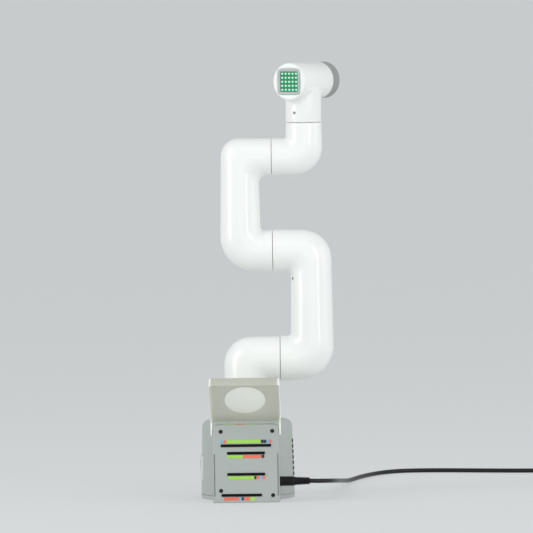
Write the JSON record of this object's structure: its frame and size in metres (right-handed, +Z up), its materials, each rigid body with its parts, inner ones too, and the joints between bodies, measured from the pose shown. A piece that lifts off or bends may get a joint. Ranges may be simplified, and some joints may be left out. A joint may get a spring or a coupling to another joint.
{
  "type": "desktop robot arm",
  "caption": "Desktop articulated robot arm: rounded white tube links on a grey connector base with a flip-up dust cover, lamp-matrix head, tool flange and power lead.",
  "frame": {"origin": "centre of the base's underside, on the vertical yaw axis", "axes": "+Z up, -Y toward the connector panel, +X to the right when facing the panel"},
  "size_m": [0.4496, 0.5286, 0.4443],
  "materials": {
    "base_grey": "satin moulded plastic, light grey",
    "rubber": "matt rubber",
    "screw_black": "black oxide",
    "circuit_board": "solder mask over laminate",
    "header_black": "moulded socket strip",
    "label_green": "printed film",
    "label_red": "printed film",
    "label_blue": "printed film",
    "label_dark": "printed film",
    "socket_black": "moulded socket",
    "port_white": "white moulded sockets",
    "socket_grey": "pressed socket shell",
    "servo_case": "dark anodised servo case",
    "cover_frost": "frosted translucent",
    "cover_disc": "frosted disc",
    "cover_pin": "moulded pin",
    "arm_white": "white, soft gloss",
    "horn_metal": "turned",
    "screw_steel": "dark steel",
    "flange_grey": "satin grey",
    "display_frame": "satin grey",
    "display_green": "lit green panel",
    "led_white": "lit lamp lens",
    "lead_black": "flexible sheath",
    "plug_black": "moulded plug",
    "adapter_black": "textured case",
    "pin_metal": "plated blades"
  },
  "bodies": {
    "base": {"base_plate": "base_grey", "rubber_pads": "rubber", "base_housing": "base_grey", "connector_box": "base_grey", "panel_screws": "screw_black", "pin_board": "circuit_board", "header_row_1": "header_black", "header_row_2": "header_black", "header_row_3": "header_black", "header_row_4": "header_black", "labels_green": "label_green", "labels_red": "label_red", "labels_blue": "label_blue", "labels_dark": "label_dark", "dc_socket": "socket_black", "left_ports": "port_white", "left_socket": "socket_grey", "right_ports": "socket_black", "main_board": "circuit_board", "base_servo": "servo_case", "dc_plug": "plug_black", "plug_relief": "lead_black", "power_cord": "lead_black", "cord_coil": "lead_black", "adapter_relief": "lead_black", "power_adapter": "adapter_black", "adapter_pins": "pin_metal"},
    "cover": {"dust_cover": "cover_frost", "cover_window": "cover_disc", "cover_hinge_pins": "cover_pin"},
    "shoulder": {"shoulder_front_shell": "arm_white", "shoulder_rear_shell": "arm_white", "shoulder_horn": "horn_metal", "shoulder_servo": "servo_case", "shoulder_screws": "screw_steel"},
    "upper_arm": {"upper_arm_front_shell": "arm_white", "upper_arm_rear_shell": "arm_white", "upper_arm_horn": "horn_metal", "elbow_servo": "servo_case", "upper_arm_screws": "screw_steel"},
    "forearm": {"forearm_front_shell": "arm_white", "forearm_rear_shell": "arm_white", "forearm_horn": "horn_metal", "wrist_servo": "servo_case", "forearm_screws": "screw_steel"},
    "wrist": {"wrist_front_shell": "arm_white", "wrist_rear_shell": "arm_white", "wrist_horn": "horn_metal", "roll_servo": "servo_case", "wrist_screws": "screw_steel"},
    "head": {"head_shell": "arm_white", "head_horn": "horn_metal", "flange_servo": "servo_case", "display_cap": "arm_white", "display_case": "display_frame", "display_board": "display_green", "display_leds": "led_white", "head_screws": "screw_steel"},
    "flange": {"tool_flange": "flange_grey", "flange_horn": "horn_metal"}
  },
  "joints": [
    {"name": "base_yaw", "type": "hinge", "parent": "base", "child": "shoulder", "pos_m": [0, 0, 0.0807], "axis": [0, 0, 1], "range_deg": [-168, 168]},
    {"name": "shoulder_pitch", "type": "hinge", "parent": "shoulder", "child": "upper_arm", "pos_m": [0.0353, 0, 0.1418], "axis": [-1, 0, 0], "range_deg": [-82, 117]},
    {"name": "elbow_pitch", "type": "hinge", "parent": "upper_arm", "child": "forearm", "pos_m": [0.029, 0, 0.2522], "axis": [1, 0, 0], "range_deg": [-150, 130]},
    {"name": "wrist_pitch", "type": "hinge", "parent": "forearm", "child": "wrist", "pos_m": [0.029, 0, 0.3482], "axis": [-1, 0, 0], "range_deg": [-134, 134]},
    {"name": "wrist_roll", "type": "hinge", "parent": "wrist", "child": "head", "pos_m": [0.0622, 0, 0.3832], "axis": [0, 0, 1], "range_deg": [-165, 165]},
    {"name": "flange_roll", "type": "hinge", "parent": "head", "child": "flange", "pos_m": [0.0622, 0, 0.4252], "axis": [0.4924, 0.8704, 0], "range_deg": [-175, 175]},
    {"name": "cover_hinge", "type": "hinge", "parent": "base", "child": "cover", "pos_m": [0, -0.0642, 0.072], "axis": [1, 0, 0], "range_deg": [-8, 134]}
  ]
}
